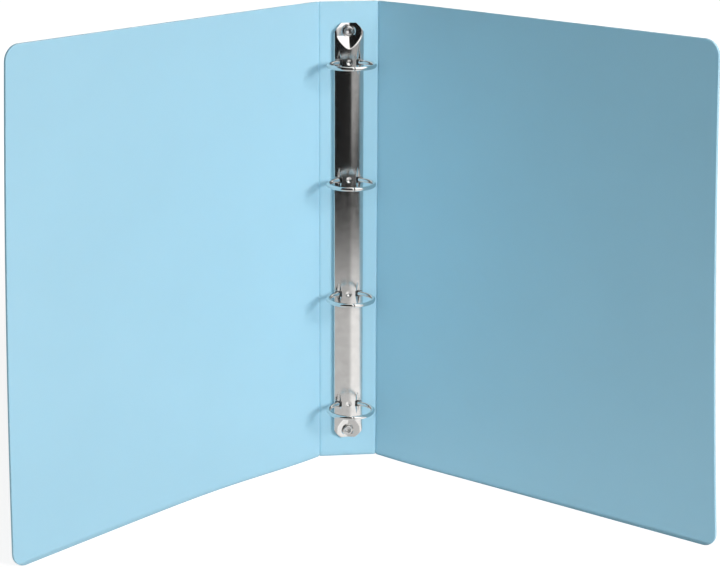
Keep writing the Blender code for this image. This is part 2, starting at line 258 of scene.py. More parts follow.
def kept_faces(across, along, inside):
    """Quads of the grid, and triangles where three corners of a quad are inside."""
    columns = len(across)
    faces = []
    for j in range(len(along) - 1):
        for i in range(columns - 1):
            corner = j * columns + i
            quad = (corner, corner + 1, corner + columns + 1, corner + columns)
            face = tuple(k for k in quad if inside[k])
            if len(face) > 2:
                faces.append(face)
    return faces


def boundary_edges(faces):
    """Directed edges that only one face uses."""
    edges = set()
    for face in faces:
        for a, b in zip(face, face[1:] + face[:1]):
            if (b, a) in edges:
                edges.remove((b, a))
            else:
                edges.add((a, b))
    return sorted(edges)


KEPT_SHARE = 0.3                  # of a grid cell: corners this far out are pulled in to the edge


def sheet_piece(name, across, along, middle, half, distance, rounding, look, rim_steps=3):
    """A closed thin sheet over the part of the grid where distance(u, v) is positive.

    middle(u, v) is its middle surface and half(u, v) half its thickness, both taking arrays,
    with u and v in metres along the surface. Its edges are rounded.
    """
    u, v = (grid.ravel() for grid in np.meshgrid(across, along))
    cell = np.hypot(*np.meshgrid(np.gradient(across), np.gradient(along))).ravel()
    inner = distance(u, v) - rounding
    faces = kept_faces(across, along, inner > -KEPT_SHARE * cell)
    edges = boundary_edges(faces)
    rim = np.array(sorted({k for edge in edges for k in edge}))
    for _ in range(3):
        off = distance(u[rim], v[rim]) - rounding
        gu, gv = gradient(distance, u[rim], v[rim])
        u[rim] -= off * gu
        v[rim] -= off * gv

    used = np.array(sorted({k for face in faces for k in face}))
    place = {k: i for i, k in enumerate(used)}
    u_used, v_used = u[used], v[used]
    normal = surface_normals(middle, u_used, v_used)
    lift = normal * half(u_used, v_used)[:, None]
    centre = middle(u_used, v_used)
    points = [centre + lift, centre - lift]
    depth = [distance(u_used, v_used)] * 2
    count = len(used)

    gu, gv = gradient(distance, u[rim], v[rim])
    rows = [[place[k] for k in rim]]
    total = 2 * count
    for side in (1, -1):
        turns = range(1, rim_steps + 1) if side > 0 else range(rim_steps, 0, -1)
        for step in turns:
            angle = math.pi / 2 * step / rim_steps
            out = rounding * math.sin(angle)
            ru, rv = u[rim] - gu * out, v[rim] - gv * out
            thick = half(u[rim], v[rim]) - rounding * (1 - math.cos(angle))
            points.append(middle(ru, rv) + side * surface_normals(middle, ru, rv) * thick[:, None])
            depth.append(np.full(len(rim), rounding - out))
            rows.append(range(total, total + len(rim)))
            total += len(rim)
    rows.append([place[k] + count for k in rim])

    rim_place = {k: i for i, k in enumerate(rim)}
    polygons = [tuple(place[k] for k in face) for face in faces]
    polygons += [tuple(place[k] + count for k in reversed(face)) for face in faces]
    for a, b in edges:
        i, j = rim_place[a], rim_place[b]
        for row, next_row in zip(rows, rows[1:]):
            polygons.append((row[j], row[i], next_row[i], next_row[j]))
    mesh = bpy.data.meshes.new(name)
    mesh.from_pydata(np.concatenate(points).tolist(), [], polygons)
    attribute = mesh.attributes.new("edge_depth", "FLOAT", "POINT")
    attribute.data.foreach_set("value", np.concatenate(depth).astype(np.float32))
    return finish_piece(name, mesh, look)


def finish_piece(name, mesh, look, sharp_angle=50):
    """Outward faces, smooth shading and a material, in a new object."""
    body = bmesh.new()
    body.from_mesh(mesh)
    bmesh.ops.recalc_face_normals(body, faces=body.faces)
    body.to_mesh(mesh)
    body.free()
    mesh.shade_smooth()
    mesh.set_sharp_from_angle(angle=math.radians(sharp_angle))
    mesh.materials.append(look)
    piece = bpy.data.objects.new(name, mesh)
    bpy.context.scene.collection.objects.link(piece)
    return piece


def loops_piece(name, loops, look, sharp_angle=50):
    """A closed body through loops of equal length, with both ends capped by a fan."""
    points = [point for loop in loops for point in loop]
    sides = len(loops[0])
    polygons = []
    for row in range(len(loops) - 1):
        for i in range(sides):
            j = (i + 1) % sides
            a, b = row * sides, (row + 1) * sides
            polygons.append((a + i, a + j, b + j, b + i))
    for row in (0, len(loops) - 1):
        ring = [row * sides + i for i in range(sides)]
        points.append(sum((Vector(points[k]) for k in ring), Vector()) / sides)
        hub = len(points) - 1
        polygons += [(ring[i], ring[(i + 1) % sides], hub) for i in range(sides)]
    mesh = bpy.data.meshes.new(name)
    mesh.from_pydata([tuple(point) for point in points], [], polygons)
    return finish_piece(name, mesh, look, sharp_angle)


# ================================================================ material tools
class Graph:
    """A material's or world's node tree, with short ways to add and link nodes."""

    def __init__(self, owner):
        owner.use_nodes = True
        self.tree = owner.node_tree

    def add(self, kind, inputs=(), **settings):
        node = self.tree.nodes.new(kind)
        for key, value in settings.items():
            setattr(node, key, value)
        for key, value in dict(inputs).items():
            self.put(node.inputs[key], value)
        return node

    def put(self, socket, value):
        if isinstance(value, bpy.types.NodeSocket):
            self.tree.links.new(value, socket)
        else:
            socket.default_value = value

    def math(self, operation, a, b=0.0):
        return self.add("ShaderNodeMath", {0: a, 1: b}, operation=operation).outputs[0]

    def ramp(self, value, low, high, out_low=0.0, out_high=1.0):
        """value from low..high to out_low..out_high, smoothly and clamped."""
        inputs = {
            "Value": value, "From Min": low, "From Max": high,
            "To Min": out_low, "To Max": out_high}
        return self.add("ShaderNodeMapRange", inputs, interpolation_type="SMOOTHSTEP").outputs[0]

    def length(self, vector):
        return self.add("ShaderNodeVectorMath", {0: vector}, operation="LENGTH").outputs["Value"]

    def grey(self, tone):
        return self.add("ShaderNodeCombineColor", {0: tone, 1: tone, 2: tone}).outputs[0]

    def turn(self, way):
        """Degrees that a direction is turned to the right of -Y, seen from above."""
        parts = self.add("ShaderNodeSeparateXYZ", {0: way}).outputs
        angle = self.math("ARCTAN2", parts[0], self.math("MULTIPLY", parts[1], -1.0))
        return self.math("MULTIPLY", angle, 180 / math.pi)

    def blend(self, factor, a, b):
        node = self.add("ShaderNodeMix", data_type="RGBA")
        self.put(node.inputs[0], factor)
        self.put(node.inputs[6], a)
        self.put(node.inputs[7], b)
        return node.outputs[2]

    def noise(self, vector, scale, detail=3.0, roughness=0.5):
        inputs = {"Vector": vector, "Scale": scale, "Detail": detail, "Roughness": roughness}
        return self.add("ShaderNodeTexNoise", inputs).outputs[0]

    def stretched(self, vector, scale):
        return self.add("ShaderNodeMapping", {"Vector": vector, "Scale": scale}).outputs[0]

    def bump(self, height, distance, strength=1.0, under=None):
        inputs = {"Height": height, "Distance": distance, "Strength": strength}
        if under is not None:
            inputs["Normal"] = under
        return self.add("ShaderNodeBump", inputs).outputs[0]


def new_material(name):
    made = bpy.data.materials.new(name)
    graph = Graph(made)
    shader = made.node_tree.nodes["Principled BSDF"]
    place = graph.add("ShaderNodeTexCoord").outputs["Object"]
    return made, graph, shader, place


def scaled(colour, factor):
    return (*[factor * part for part in colour], 1)


def plastic_material(name, colour, edge_colour, roughness, grain):
    """Satin polypropylene: cloudy colour, calendered grain, paler along its cut edges."""
    made, graph, shader, place = new_material(name)
    clouds = graph.noise(place, 14.0, 4.0, 0.55)
    body = graph.blend(graph.ramp(clouds, 0.3, 0.7), scaled(colour, 0.99), scaled(colour, 1.01))
    specks = graph.ramp(graph.noise(place, 900.0, 2.0), 0.66, 0.78, 0.0, 0.10)
    body = graph.blend(specks, body, scaled(edge_colour, 1))
    depth = graph.add("ShaderNodeAttribute", attribute_name="edge_depth").outputs["Fac"]
    wear = graph.noise(place, 160.0, 3.0)
    rim = graph.ramp(depth, 0.0, 0.7 * MM, 0.75, 0.0)
    rim = graph.math("MULTIPLY", rim, graph.ramp(wear, 0.25, 0.75, 0.45, 1.0))
    graph.put(shader.inputs["Base Color"], graph.blend(rim, body, scaled(edge_colour, 1)))

    smudges = graph.noise(place, 32.0, 5.0, 0.6)
    matt = graph.ramp(smudges, 0.25, 0.75, roughness - 0.035, roughness + 0.045)
    graph.put(shader.inputs["Roughness"], matt)
    fine = graph.bump(graph.noise(place, 2200.0, 2.0), 0.012 * MM, grain)
    waves = graph.bump(graph.noise(place, 42.0, 2.0), 0.05 * MM, 0.35, fine)
    scratches = graph.noise(graph.stretched(place, (1.0, 1.0, 0.02)), 1500.0, 1.0)
    marks = graph.ramp(scratches, 0.70, 0.80)
    graph.put(shader.inputs["Normal"], graph.bump(marks, 0.003 * MM, 0.4, waves))
    shader.inputs["IOR"].default_value = 1.49
    shader.inputs["Subsurface Weight"].default_value = 0.10
    shader.inputs["Subsurface Radius"].default_value = (0.6, 1.0, 1.2)
    shader.inputs["Subsurface Scale"].default_value = 0.8 * MM
    return made


def metal_material(name, colour, roughness, spread, grain, stretch):
    """Plated steel: faint rolling lines along the strip, cloudy plating, small pits."""
    made, graph, shader, place = new_material(name)
    clouds = graph.noise(place, 120.0, 4.0, 0.6)
    tone = graph.blend(graph.ramp(clouds, 0.25, 0.75), scaled(colour, 0.90), scaled(colour, 1))
    pits = graph.ramp(graph.noise(place, 1900.0, 2.0), 0.68, 0.80, 0.0, 0.35)
    graph.put(shader.inputs["Base Color"], graph.blend(pits, tone, scaled(colour, 0.55)))
    streaks = graph.noise(graph.stretched(place, stretch), 2600.0, 3.0)
    smears = graph.math("MULTIPLY", graph.noise(place, 210.0, 5.0, 0.65), 0.55)
    both = graph.math("ADD", graph.math("MULTIPLY", streaks, 0.45), smears)
    matt = graph.ramp(both, 0.3, 0.7, roughness - spread, roughness + spread)
    graph.put(shader.inputs["Roughness"], matt)
    rolled = graph.bump(streaks, 0.0012 * MM, grain)
    dents = graph.bump(graph.noise(place, 95.0, 2.0), 0.012 * MM, grain, rolled)
    graph.put(shader.inputs["Normal"], dents)
    shader.inputs["Metallic"].default_value = 1.0
    return made


BLUE = (0.355, 0.635, 0.790)
PALE_BLUE = (0.42, 0.69, 0.83)
FOLD_BLUE = (0.375, 0.655, 0.805)
PLASTIC = plastic_material("blue_polypropylene", BLUE, PALE_BLUE, 0.42, 0.35)
FOLD_PLASTIC = plastic_material("folded_polypropylene", FOLD_BLUE, PALE_BLUE, 0.34, 0.15)
STRIP = (1.0, 1.0, 0.03)
PLATE_NICKEL = metal_material("plate_nickel", (0.80, 0.785, 0.765), 0.17, 0.03, 0.5, STRIP)
WIRE_NICKEL = metal_material("wire_nickel", (0.80, 0.79, 0.77), 0.09, 0.03, 0.3, (1.0, 1.0, 1.0))
RIVET_NICKEL = metal_material("rivet_nickel", (0.78, 0.77, 0.755), 0.28, 0.06, 0.8, (1.0, 0.2, 1.0))
ZINC = metal_material("zinc_blade", (0.52, 0.53, 0.54), 0.34, 0.08, 1.0, STRIP)


# ================================================================ covers
CREASE_STEP = 0.08 * MM           # grid steps: in the crease beside each fold
CORNER_STEP = 0.7 * MM            # round a cover's corners
COVER_STEP = 8 * MM               # over the rest of a cover
SPINE_STEP = 4 * MM               # over the spine
HOLE_STEP = 0.25 * MM             # round its rivet holes
BEND_STEP = 0.06 * MM             # across a fold


def crease_half(distance_to_fold):
    """Half the sheet's thickness near a fold line, where a rounded groove thins it."""
    t = smooth_step(distance_to_fold / CREASE_WIDTH)
    return CREASE_HALF + (SHEET / 2 - CREASE_HALF) * t


def cover_lines():
    corner = CORNER_RADIUS + 1 * MM
    across = lines(
        (FOLD_GAP, EDGE_ROUND), (FOLD_GAP + EDGE_ROUND, CREASE_STEP),
        (FOLD_GAP + CREASE_WIDTH, 0.8 * MM), (FOLD_GAP + 4 * MM, COVER_STEP),
        (COVER_WIDTH - corner, CORNER_STEP), (COVER_WIDTH - EDGE_ROUND, EDGE_ROUND), end=COVER_WIDTH)
    along = lines(
        (0, EDGE_ROUND), (EDGE_ROUND, CORNER_STEP), (corner, COVER_STEP),
        (HEIGHT - corner, CORNER_STEP), (HEIGHT - EDGE_ROUND, EDGE_ROUND), end=HEIGHT)
    return across, along


def warp_lean(u, v, warp):
    """How far a cover's middle surface stands inwards of flat."""
    top, bottom, bow, belly = (part * MM for part in warp)
    up = v / HEIGHT
    full = math.hypot(COVER_WIDTH - WARP_START, WARP_SOFT) - WARP_SOFT
    reach = (np.hypot(np.maximum(u - WARP_START, 0), WARP_SOFT) - WARP_SOFT) / full
    bowed = bow * (1 - np.exp(-(u / BOW_REACH) ** 2))
    return (up * top + 4 * belly * up * (1 - up)) * reach + (1 - up) * (bottom * reach + bowed)


def cover_piece(name, side, bend, warp):
    turn = math.radians(bend)
    axis = np.array((side * FOLD_X, 0.0))
    outward = np.array((side * math.cos(turn), -math.sin(turn)))
    inward = np.array((-side * math.sin(turn), -math.cos(turn)))

    def middle(u, v):
        flat = axis + np.outer(u, outward) + np.outer(warp_lean(u, v, warp), inward)
        return np.column_stack((flat, v))

    def half(u, v):
        return crease_half(u - FOLD_GAP)

    def distance(u, v):
        far = -CORNER_RADIUS * 2
        outline = box_distance(u, v, (far, 0), (COVER_WIDTH, HEIGHT), CORNER_RADIUS)
        return np.minimum(outline, u - FOLD_GAP)

    across, along = cover_lines()
    return sheet_piece(name, across, along, middle, half, distance, EDGE_ROUND, PLASTIC)


def spine_piece():
    edge = FOLD_X - FOLD_GAP

    def middle(u, v):
        return np.column_stack((u, np.zeros_like(u), v))

    def half(u, v):
        return crease_half(edge - np.abs(u))

    def distance(u, v):
        hole = np.hypot(u, np.abs(v - MIDDLE_Z) - RIVET_FROM_MIDDLE) - SPINE_HOLE
        return np.minimum(box_distance(u, v, (-edge, 0), (edge, HEIGHT), 0), hole)

    near = SPINE_HOLE + 0.6 * MM
    across = mirrored(lines(
        (0, HOLE_STEP), (near, SPINE_STEP / 2), (edge - CREASE_WIDTH, CREASE_STEP),
        (edge - EDGE_ROUND, EDGE_ROUND), end=edge))
    low, high = HEIGHT - UPPER_RIVET_Z, UPPER_RIVET_Z
    along = lines(
        (0, EDGE_ROUND), (EDGE_ROUND, SPINE_STEP), (low - near, HOLE_STEP), (low + near, SPINE_STEP),
        (high - near, HOLE_STEP), (high + near, SPINE_STEP), (HEIGHT - EDGE_ROUND, EDGE_ROUND),
        end=HEIGHT)
    return sheet_piece("spine_sheet", across, along, middle, half, distance, EDGE_ROUND, PLASTIC)


def fold_piece(name, side, bend):
    """The thin bent strip between the spine and a cover, tangent to both."""
    half_turn = math.radians(bend) / 2
    leg = FOLD_HALF - FOLD_RADIUS * math.tan(half_turn)
    reach = FOLD_RADIUS * half_turn
    end = reach + leg + FOLD_GAP + WEB_OVERLAP - FOLD_HALF

    def middle(u, v):
        turn = np.clip(u, -reach, reach) / FOLD_RADIUS
        spare = u - np.clip(u, -reach, reach)
        angle = half_turn + turn
        x = leg + FOLD_RADIUS * np.sin(angle) + spare * np.cos(angle)
        y = FOLD_RADIUS * (np.cos(angle) - 1) - spare * np.sin(angle)
        return np.column_stack((side * (FOLD_X - FOLD_HALF + x), y, v))

    def half(u, v):
        return np.full_like(u, WEB_HALF)

    def distance(u, v):
        return box_distance(u, v, (-end, WEB_END_INSET), (end, HEIGHT - WEB_END_INSET), 0)

    rounding = 0.8 * WEB_HALF
    across = lines((-end, rounding), (rounding - end, BEND_STEP), (end - rounding, rounding), end=end)
    low, high = WEB_END_INSET, HEIGHT - WEB_END_INSET
    along = lines(
        (low, rounding), (low + rounding, 1.5 * SPINE_STEP), (high - rounding, rounding), end=high)
    piece = sheet_piece(name, across, along, middle, half, distance, rounding, FOLD_PLASTIC)
    start, stop = middle(np.array((-end, end)), np.array((MIDDLE_Z, MIDDLE_Z)))
    return piece, Vector(start), Vector(stop)


def make_cover():
    front = cover_piece("front_cover_sheet", -1, FRONT_BEND, FRONT_WARP)
    rear = cover_piece("rear_cover_sheet", 1, REAR_BEND, REAR_WARP)
    spine = spine_piece()
    for piece, body, node in (
            (front, "front_cover", "front_cover"), (rear, "rear_cover", "rear_cover"),
            (spine, "spine", "spine_panel")):
        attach(piece, body)
        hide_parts(node)
    for name, side, bend in (("front", -1, FRONT_BEND), ("rear", 1, REAR_BEND)):
        web, start, stop = fold_piece(name + "_fold_strip", side, bend)
        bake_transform(web)
        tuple(start)
        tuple(stop)
        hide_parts(name + "_fold_web")


# ================================================================ housing
CROWN_STEP = 0.3 * MM             # grid steps across the plate
SHOULDER_STEP = 0.13 * MM
FLANK_STEP = 0.4 * MM
SLOT_STEP = 0.2 * MM              # beside a ring opening, across and along
SCOOP_STEP = 0.28 * MM            # grid steps along the plate
GROOVE_STEP = 0.45 * MM
PLAIN_STEP = 3 * MM

SHOULDER_MIDDLE = SHOULDER_RADIUS - PLATE_HALF
SHOULDER_X = HOUSING_WIDTH / 2 - SHOULDER_RADIUS
ARCH_RADIUS = SHOULDER_MIDDLE + SHOULDER_X / math.sin(ARCH_SPREAD)
ARCH_CENTRE = HOUSING_CROWN - PLATE_HALF - ARCH_RADIUS
ARCH_LENGTH = ARCH_RADIUS * ARCH_SPREAD
SHOULDER_HEIGHT = ARCH_CENTRE + (ARCH_RADIUS - SHOULDER_MIDDLE) * math.cos(ARCH_SPREAD)
SHOULDER_LENGTH = SHOULDER_MIDDLE * (math.pi / 2 - ARCH_SPREAD)
PLATE_REACH = ARCH_LENGTH + SHOULDER_LENGTH + SHOULDER_HEIGHT - FLANK_FOOT


def plate_section(s):
    """x and height of the housing's middle line at a distance s from its crown, unpressed."""
    way = np.abs(s)
    arch = np.minimum(way, ARCH_LENGTH) / ARCH_RADIUS
    turn = ARCH_SPREAD + np.clip(way - ARCH_LENGTH, 0, SHOULDER_LENGTH) / SHOULDER_MIDDLE
    on_arch = way < ARCH_LENGTH
    x = np.where(on_arch, ARCH_RADIUS * np.sin(arch), SHOULDER_X + SHOULDER_MIDDLE * np.sin(turn))
    shoulder = SHOULDER_HEIGHT + SHOULDER_MIDDLE * np.cos(turn)
    height = np.where(on_arch, ARCH_CENTRE + ARCH_RADIUS * np.cos(arch), shoulder)
    return np.sign(s) * x, height - np.maximum(way - ARCH_LENGTH - SHOULDER_LENGTH, 0)


def scoop_height(x, z):
    """Height of the pressed scoop at each end: a widening trough that ramps down to a flat seat."""
    level = np.abs(z - MIDDLE_Z)
    into = level - (RIVET_FROM_MIDDLE - SCOOP_REACH)
    end = HOUSING_HIGH.z - UPPER_RIVET_Z + SCOOP_REACH
    drop = ARCH_CENTRE + ARCH_RADIUS - SEAT_HEIGHT
    left = 1 - into / SCOOP_RAMP
    ramp = drop * np.sign(left) * np.abs(left) ** SCOOP_RAMP_POWER
    slope = np.interp(into, (0, SCOOP_RAMP, end), SCOOP_SLOPES)
    wall = slope * (np.hypot(x, SCOOP_TROUGH_ROUND) - SCOOP_TROUGH_ROUND)
    around = np.hypot(x, level - RIVET_FROM_MIDDLE)
    rise = (np.maximum(ramp, 0) + wall) * smooth_step((around - SEAT_RADIUS) / SEAT_BLEND)
    lip_start = SCOOP_REACH + BORE_RADIUS
    lip = END_LIP * np.clip((into - lip_start) / (end - lip_start), 0, 1) ** 2
    return SEAT_HEIGHT + rise - lip


def soft_min(a, b, reach):
    near = np.maximum(reach - np.abs(a - b), 0) / reach
    return np.minimum(a, b) - near * near * reach / 4


def pressed_marks(x, z):
    """Depth of the dimple and the lead-in grooves at each ring."""
    depth = np.zeros_like(x)
    for level in RING_LEVELS:
        off = np.hypot(x, z - level) / DIMPLE_RADIUS
        depth += DIMPLE_DEPTH * np.cos(np.minimum(off, 1) * math.pi / 2) ** 2
        away = np.clip((np.abs(z - level) - SLOT_HALF_LENGTH) / GROOVE_LENGTH, 0, 1)
        width = GROOVE_HALF_WIDTH * (1 - GROOVE_TAPER * away)
        across = np.clip(1 - ((np.abs(x) - GROOVE_MIDDLE) / width) ** 2, 0, 1)
        depth += GROOVE_DEPTH * (1 - away) ** 1.5 * across ** 1.5
    return depth


def plate_middle(s, z):
    x, height = plate_section(s)
    height = height - np.where(np.abs(s) < ARCH_LENGTH, pressed_marks(x, z), 0)
    height = soft_min(height, scoop_height(x, z), SCOOP_EDGE_ROUND)
    return np.column_stack((x, FACE_Y - height, z))


def arch_way(x):
    """Distance from the crown, along the arch, of a point at x."""
    return ARCH_RADIUS * math.asin(x / ARCH_RADIUS)


def plate_distance(s, z):
    """Distance into the plate's metal from its ends, ring openings and rivet holes."""
    x, _ = plate_section(s)
    end = HOUSING_HIGH.z - MIDDLE_Z
    level = np.abs(z - MIDDLE_Z)
    width = HOUSING_WIDTH / 2 + END_SHOULDER - END_HALF_WIDTH
    into = np.clip((level - (end - END_TAPER_LENGTH)) / END_TAPER_LENGTH, 0, 1)
    taper = END_HALF_WIDTH + width * (1 - into ** 2)
    slope = 2 * width * into / END_TAPER_LENGTH
    found = np.minimum(end - level, (taper - np.abs(x)) / np.hypot(1, slope))
    found = np.minimum(found, PLATE_REACH - np.abs(s))
    found = np.minimum(found, np.hypot(x, level - RIVET_FROM_MIDDLE) - RIVET_HOLE)
    low, high = arch_way(SLOT_INNER), arch_way(SLOT_OUTER)
    for ring in RING_LEVELS:
        slot = box_distance(
            np.abs(s), z, (low, ring - SLOT_HALF_LENGTH), (high, ring + SLOT_HALF_LENGTH), SLOT_CORNER)
        found = np.minimum(found, -slot)
    return found


def housing_lines():
    low, high = arch_way(SLOT_INNER), arch_way(SLOT_OUTER)
    across = mirrored(lines(
        (0, CROWN_STEP), (low - PLATE_ROUND, SLOT_STEP), (high + PLATE_ROUND, SLOT_STEP),
        (ARCH_LENGTH, SHOULDER_STEP), (ARCH_LENGTH + SHOULDER_LENGTH, FLANK_STEP),
        (PLATE_REACH - PLATE_ROUND, PLATE_ROUND), end=PLATE_REACH))
    scoop = UPPER_RIVET_Z - SCOOP_REACH - 1 * MM
    bottom, top = HOUSING_LOW.z, HOUSING_HIGH.z
    zones = [
        (bottom, bottom + PLATE_ROUND, PLATE_ROUND), (top - PLATE_ROUND, top, PLATE_ROUND),
        (bottom, HEIGHT - scoop, SCOOP_STEP), (scoop, top, SCOOP_STEP)]
    for ring in RING_LEVELS:
        groove = SLOT_HALF_LENGTH + GROOVE_LENGTH
        slot = SLOT_HALF_LENGTH + PLATE_ROUND
        zones += [(ring - groove, ring + groove, GROOVE_STEP), (ring - slot, ring + slot, SLOT_STEP)]
    return across, graded_lines(bottom, top, PLAIN_STEP, zones)


def make_housing():
    across, along = housing_lines()

    def half(s, z):
        return np.full_like(s, PLATE_HALF)

    plate = sheet_piece(
        "housing_plate", across, along, plate_middle, half, plate_distance, PLATE_ROUND, PLATE_NICKEL)
    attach(plate, "spine")
    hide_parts("ring_housing")


# ================================================================ rings
WIRE_SIDES = 28
ARC_STEPS = 64
BEND_STEPS = 10


def ring_path():
    """Centre line of a left half ring from tip to blade, as (x, height, heading in degrees)."""
    start = 90 + math.degrees(TIP_GAP / RING_RADIUS)
    end = 90 + RING_ARC_END
    path = []
    for i in range(ARC_STEPS + 1):
        heading = start + (end - start) * i / ARC_STEPS
        angle = math.radians(heading)
        path.append((
            RING_RADIUS * math.cos(angle),
            RING_CENTRE_HEIGHT + RING_RADIUS * math.sin(angle), heading + 90))
    x, height, heading = path[-1]
    last = math.radians(heading)
    centre_x = x + ROOT_BEND_RADIUS * math.sin(last)
    centre_height = height - ROOT_BEND_RADIUS * math.cos(last)
    final = 270 - BLADE_TILT
    for i in range(1, BEND_STEPS + 1):
        turned = heading + (final - heading) * i / BEND_STEPS
        angle = math.radians(turned + 90)
        path.append((
            centre_x + ROOT_BEND_RADIUS * math.cos(angle),
            centre_height + ROOT_BEND_RADIUS * math.sin(angle), turned))
    return path


def wire_loop(x, height, heading, radius, level, side):
    """A round loop across the wire, for the left half ring (side -1) or mirrored."""
    angle = math.radians(heading)
    sideways = Vector((-math.sin(angle), -math.cos(angle), 0))
    centre = Vector((x, FACE_Y - height, level))
    loop = []
    for i in range(WIRE_SIDES):
        around = 2 * math.pi * i / WIRE_SIDES
        up = Vector((0, 0, radius * math.sin(around)))
        point = centre + sideways * radius * math.cos(around) + up
        loop.append((-side * point.x, point.y, point.z))
    return loop


def tip_loops(path, has_pin):
    """(x, height, heading, radius) of the loops at a tip: pin or socket, face and chamfer."""
    x, height, heading = path[0]
    ahead = math.radians(heading)

    def at(back, radius):
        return x + back * math.cos(ahead), height + back * math.sin(ahead), heading, radius

    face = at(0, WIRE_RADIUS - TIP_CHAMFER)
    chamfer = [at(0.35 * TIP_CHAMFER, WIRE_RADIUS - 0.3 * TIP_CHAMFER), at(TIP_CHAMFER, WIRE_RADIUS)]
    if has_pin:
        nose = [at(-PIN_LENGTH, 0.45 * PIN_RADIUS), at(-0.8 * PIN_LENGTH, 0.85 * PIN_RADIUS)]
        return nose + [at(-0.6 * PIN_LENGTH, PIN_RADIUS), at(0, PIN_RADIUS), face] + chamfer
    bore = [at(SOCKET_DEPTH, 0.5 * SOCKET_RADIUS), at(0.8 * SOCKET_DEPTH, SOCKET_RADIUS)]
    return bore + [at(0.1 * MM, SOCKET_RADIUS), at(0, SOCKET_RADIUS + SOCKET_FLARE), face] + chamfer


def half_ring_profile(has_pin):
    path = ring_path()
    stations = tip_loops(path, has_pin)
    stations += [(*station, WIRE_RADIUS) for station in path[1:]]
    tilt = math.radians(BLADE_TILT)
    along = (path[-1][0] + BLADE_PIVOT_X) / math.cos(tilt)
    heading = path[-1][2]

    def on_blade(lift, radius):
        x = -BLADE_PIVOT_X + along * math.cos(tilt) + lift * math.sin(tilt)
        return x, PIVOT_HEIGHT - along * math.sin(tilt) + lift * math.cos(tilt), heading, radius

    top = BLADE_HALF + GAP
    stations += [
        on_blade(top + FOOT_CHAMFER, WIRE_RADIUS), on_blade(top, WIRE_RADIUS - FOOT_CHAMFER),
        on_blade(top, STAKE_RADIUS), on_blade(-BLADE_HALF, STAKE_RADIUS)]
    return stations


def make_rings():
    for side, name in ((-1, "left"), (1, "right")):
        stations = half_ring_profile(has_pin=side < 0)
        for i, level in enumerate(RING_LEVELS):
            loops = [wire_loop(*station, level, side) for station in stations]
            wire = loops_piece("%s_ring_wire_%d" % (name, i + 1), loops, WIRE_NICKEL, 32)
            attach(wire, name + "_ring_side")
            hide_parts("%s_ring_half_%d" % (name, i + 1))


# ================================================================ rivets
def arc(centre, radius, start, end, steps):
    """Points on an arc, with angles in degrees. The radius may be a pair, for an ellipse."""
    wide, tall = radius if isinstance(radius, tuple) else (radius, radius)
    angles = [math.radians(start + (end - start) * i / steps) for i in range(steps + 1)]
    return [(centre[0] + wide * math.cos(a), centre[1] + tall * math.sin(a)) for a in angles]


def rivet_profile():
    """(radius, y) from the middle of the head, over the head, shank and rolled rim, into the bore."""
    head = SHEET / 2 + GAP
    rim = FACE_Y - GAP - 2 * PLATE_HALF - GAP
    roll_middle = (RIM_RADIUS + BORE_RADIUS) / 2
    roll_half = (RIM_RADIUS - BORE_RADIUS) / 2
    points = [(0.5 * MM, head + 0.82 * HEAD_THICKNESS), (1.3 * MM, head + 0.86 * HEAD_THICKNESS)]
    edge = (HEAD_RADIUS - HEAD_FLAT, (1 - HEAD_EDGE) * HEAD_THICKNESS)
    points += arc((HEAD_FLAT, head + HEAD_EDGE * HEAD_THICKNESS), edge, 100, 0, 10)
    points += [(HEAD_RADIUS, head + HEAD_CHAMFER), (HEAD_RADIUS - HEAD_CHAMFER, head)]
    points += [(SHANK_RADIUS, head), (SHANK_RADIUS, rim)]
    foot = 0.1 * MM
    points += arc((roll_middle, rim - foot), (roll_half, RIM_THICKNESS - foot), 0, -180, 14)
    points += [(BORE_RADIUS, rim + 0.4 * MM), (BORE_RADIUS - BORE_TAPER, -0.2 * MM)]
    points += [(0.9 * MM, 0.0), (0.3 * MM, 0.1 * MM)]
    return points


def make_rivets():
    last = 360 - 360 / RIVET_SIDES
    for name, z in (("upper", UPPER_RIVET_Z), ("lower", HEIGHT - UPPER_RIVET_Z)):
        loops = []
        for radius, y in rivet_profile():
            turned = arc((0, z), radius, 0, last, RIVET_SIDES - 1)
            loops.append([(x, y, height) for x, height in turned])
        tube = loops_piece(name + "_rivet_tube", loops, RIVET_NICKEL, 40)
        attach(tube, "spine")
        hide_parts(name + "_rivet")


def dress_blades():
    for name in ("left_blade", "right_blade"):
        blade = frame["nodes"][name]
        blade.data.materials.clear()
        blade.data.materials.append(ZINC)


# ================================================================ stage, lights and camera
FLOOR_RADIUS = 9.0
WALL_RADIUS = 3.0
WALL_TOP = 8.0
FLOOR_SHADE = 0.35
FLOOR_GLOW = 0.85                 # under the binder; 1 beyond GLOW_END
GLOW_START = 0.3
GLOW_END = 1.2

# What metal sees, in degrees. Turns go to the right of the binder's front, and rises from level.
DARK = 0.012                      # the room in front
CARD_LIGHT = 0.45                 # a grey card in front on the right
CARD_REST = 0.35                  # share of its light beyond CARD_FADE
CARD_START = (13.0, 17.0)
CARD_FADE = (40.0, 44.0)
BEHIND_LIGHT = 0.55
BEHIND_START = (110.0, 140.0)
RIGHT_LIGHT = 1.5                 # all the right side above level
RIGHT_START = (-4.0, 6.0)
RIGHT_RISE = (-1.0, 8.0)
OVERHEAD_LIGHT = 1.1
OVERHEAD_RISE = (66.0, 80.0)
SHINE_LEVEL = 0.002               # the shining floor: its height, outline and reach
SHINE_BOX = ((-1.2, -1.0), (1.2, 0.6))
SHINE_FADE = (0.31, 0.76)
SHINE_TURN = (8.0, 20.0)          # darker on the left of this turn than on its right
SHINE_LIGHT = (0.62, 1.08)


